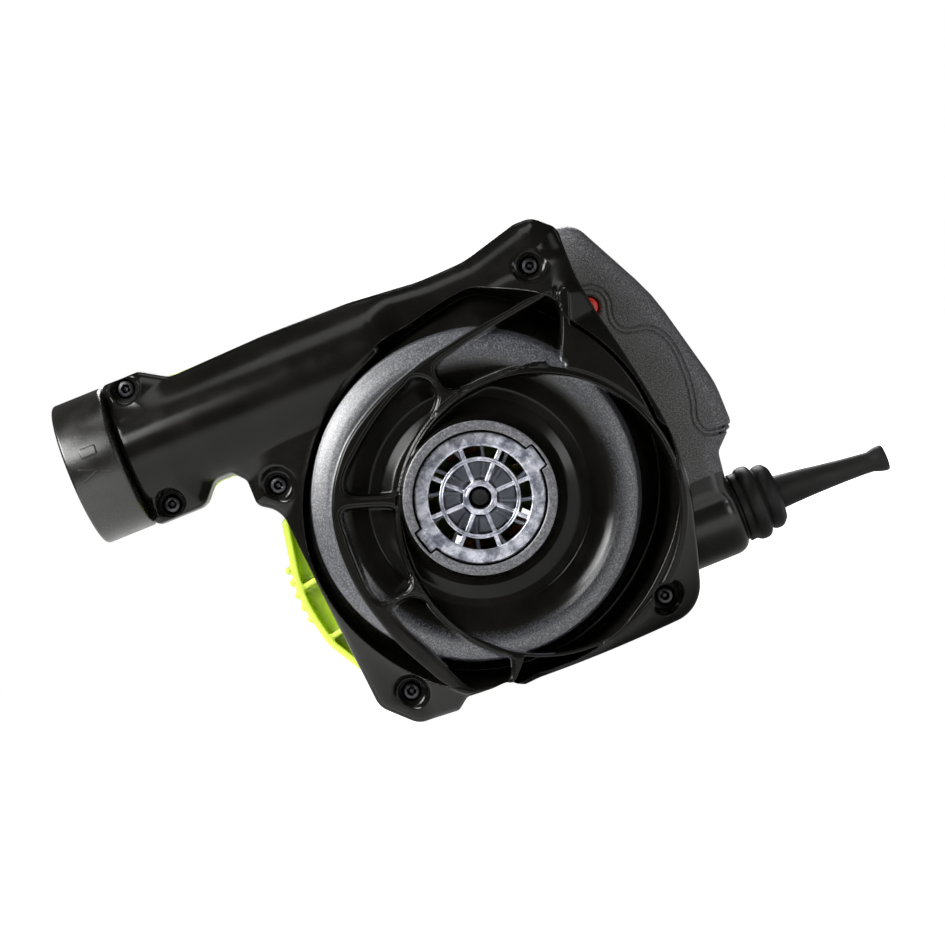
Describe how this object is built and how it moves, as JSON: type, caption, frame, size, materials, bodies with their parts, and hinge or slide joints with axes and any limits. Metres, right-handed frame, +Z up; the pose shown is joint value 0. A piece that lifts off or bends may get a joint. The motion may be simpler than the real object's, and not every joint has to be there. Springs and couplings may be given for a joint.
{
  "type": "electric leaf blower",
  "caption": "Handheld mains blower with a round side intake and guard, a spiral fan housing, a round outlet collar, a rear trigger handle and a cord gland.",
  "frame": {"origin": "middle of the overall box, on the surface that the upright blower stands on", "axes": "+Z up, +X from the outlet towards the rear handle and cord gland, +Y from the intake towards the motor"},
  "size_m": [0.3402, 0.17, 0.1898],
  "materials": {
    "black_plastic": "satin injection-moulded black",
    "lime_plastic": "bright lime green, satin",
    "grey_plastic": "dark grey, fine spark texture",
    "silver_plastic": "silvery polished plastic",
    "fan_plastic": "blue-grey moulded",
    "red_plastic": "red button",
    "rubber": "soft black rubber",
    "dark_steel": "blackened steel",
    "bright_steel": "ground steel",
    "lamination": "stacked laminations, varnished",
    "copper": "enamelled copper wire",
    "brass": "drawn brass",
    "carbon": "carbon",
    "bakelite": "dark moulded resin",
    "film_yellow": "film capacitor case"
  },
  "bodies": {
    "housing": {"front_cover": "black_plastic", "outlet_collar": "black_plastic", "motor_end_cap": "black_plastic", "brush_cap_left": "black_plastic", "brush_cap_right": "black_plastic", "rear_housing": "lime_plastic", "handle_front": "grey_plastic", "handle_rear": "grey_plastic", "gland_collar": "rubber", "cord_sleeve": "rubber", "cover_screw_top": "dark_steel", "cover_screw_left": "dark_steel", "cover_screw_foot": "dark_steel", "cover_screw_right": "dark_steel", "nozzle_screw_upper": "dark_steel", "nozzle_screw_lower": "dark_steel", "handle_screw_1": "dark_steel", "handle_screw_2": "dark_steel", "handle_screw_3": "dark_steel", "handle_screw_4": "dark_steel", "cap_screw_1": "dark_steel", "cap_screw_2": "dark_steel", "clamp_screw_1": "dark_steel", "clamp_screw_2": "dark_steel", "bearing_front": "bright_steel", "bearing_rear": "bright_steel", "brush_spring_left": "bright_steel", "brush_spring_right": "bright_steel", "lock_spring": "bright_steel", "field_core": "lamination", "field_coil_upper": "copper", "field_coil_lower": "copper", "brush_holder_left": "brass", "brush_holder_right": "brass", "carbon_brush_left": "carbon", "carbon_brush_right": "carbon", "switch": "bakelite", "terminal_block": "bakelite", "cord_clamp": "bakelite", "capacitor": "film_yellow"},
    "rotor": {"impeller": "fan_plastic", "fan_nut": "dark_steel", "fan_washer": "bright_steel", "motor_shaft": "dark_steel", "armature_core": "lamination", "armature_winding_front": "copper", "armature_winding_rear": "copper", "commutator": "brass"},
    "trigger": {"trigger": "black_plastic"},
    "lock_button": {"lock_button": "red_plastic"},
    "guard": {"inlet_guard": "silver_plastic"}
  },
  "joints": [
    {"name": "rotor_spin", "type": "hinge", "parent": "housing", "child": "rotor", "pos_m": [-0.0099, -0.043, 0.0823], "axis": [0, 1, 0], "continuous": true},
    {"name": "trigger_pull", "type": "slide", "parent": "housing", "child": "trigger", "axis": [0.9514, 0, 0.3078], "range_m": [0, 0.005], "stiffness_N_per_m": 300, "springref_m": -0.003},
    {"name": "lock_press", "type": "slide", "parent": "housing", "child": "lock_button", "axis": [0, 1, 0], "range_m": [0, 0.003], "stiffness_N_per_m": 400, "springref_m": -0.002},
    {"name": "guard_twist", "type": "hinge", "parent": "housing", "child": "guard", "pos_m": [-0.0099, -0.08, 0.0823], "axis": [0, 1, 0], "range_deg": [0, 20]}
  ]
}
